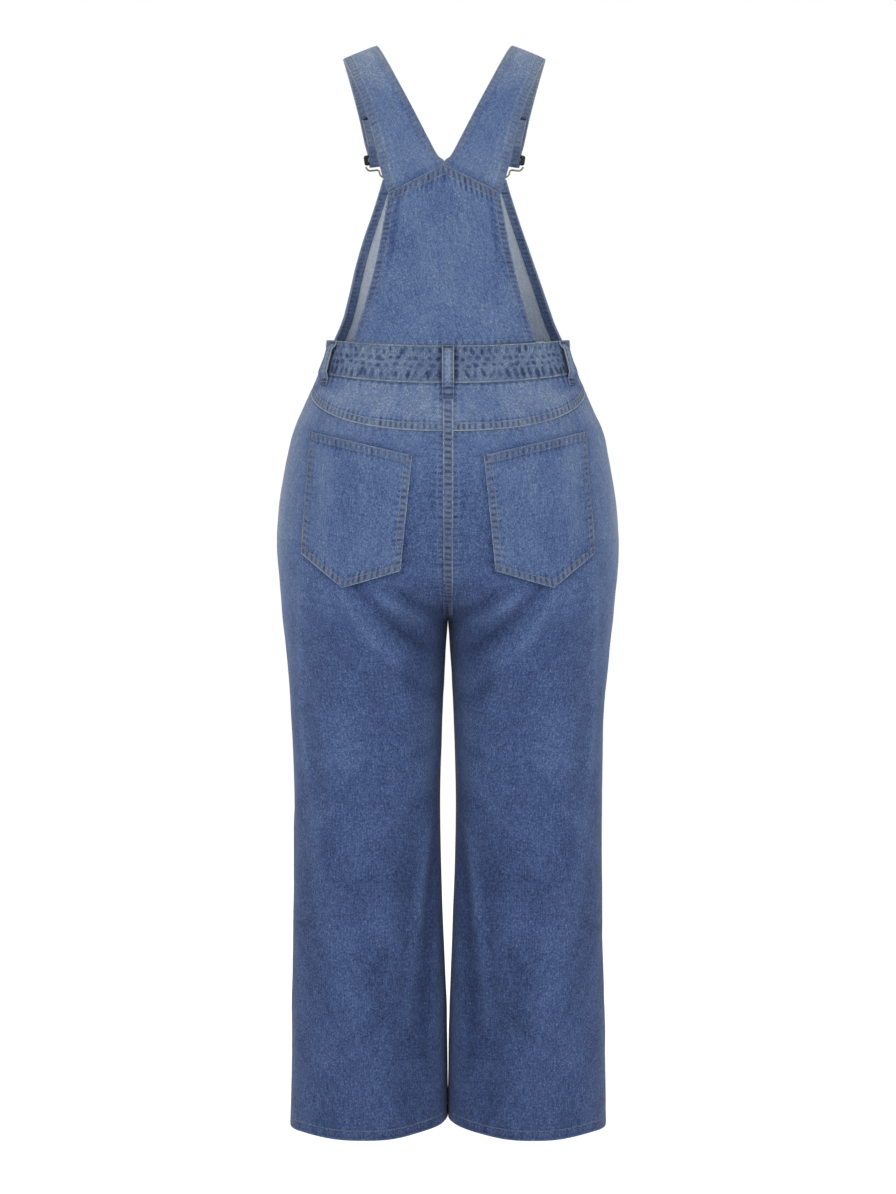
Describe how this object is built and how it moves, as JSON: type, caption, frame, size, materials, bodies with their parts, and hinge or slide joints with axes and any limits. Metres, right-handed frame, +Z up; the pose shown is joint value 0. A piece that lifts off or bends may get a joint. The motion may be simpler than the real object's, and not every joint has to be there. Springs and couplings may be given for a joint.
{
  "type": "pair of denim dungarees, as worn",
  "caption": "Wide-leg denim dungarees with a bib, a shaped back panel, shoulder straps on wire hooks, a waistband with loops and back pockets, in their hollow worn form.",
  "frame": {"origin": "where the straps rest on the wearer's shoulders: the height of the straps' highest point, on the middle line between the side seams", "axes": "+Z up along the body, -Y the way that the wearer faces, +X the wearer's left"},
  "size_m": [0.4258, 0.3051, 1.3531],
  "materials": {
    "denim": "washed mid-blue cotton twill with a fine light fleck",
    "denim_faded": "the same twill, faded lighter along bands and seams",
    "slide_metal": "black enamelled metal",
    "hook_wire": "dull nickel-plated wire",
    "button_metal": "aged grey-bronze metal"
  },
  "bodies": {
    "root": {"back_panel": "denim", "bib": "denim", "waistband_back": "denim_faded", "waistband_front": "denim_faded", "centre_back_seam": "denim_faded", "yoke_left": "denim_faded", "yoke_right": "denim_faded", "back_leg_left": "denim", "back_leg_right": "denim", "front_leg_left": "denim", "front_leg_right": "denim", "pocket_left": "denim", "pocket_right": "denim", "strap_left": "denim_faded", "strap_right": "denim_faded", "slide_left": "slide_metal", "slide_right": "slide_metal", "hook_left": "hook_wire", "hook_right": "hook_wire", "bib_button_left": "button_metal", "bib_button_right": "button_metal", "side_button_left_upper": "button_metal", "side_button_left_lower": "button_metal", "side_button_right_upper": "button_metal", "side_button_right_lower": "button_metal", "belt_loop_back": "denim_faded", "belt_loop_left": "denim_faded", "belt_loop_right": "denim_faded"}
  },
  "joints": []
}
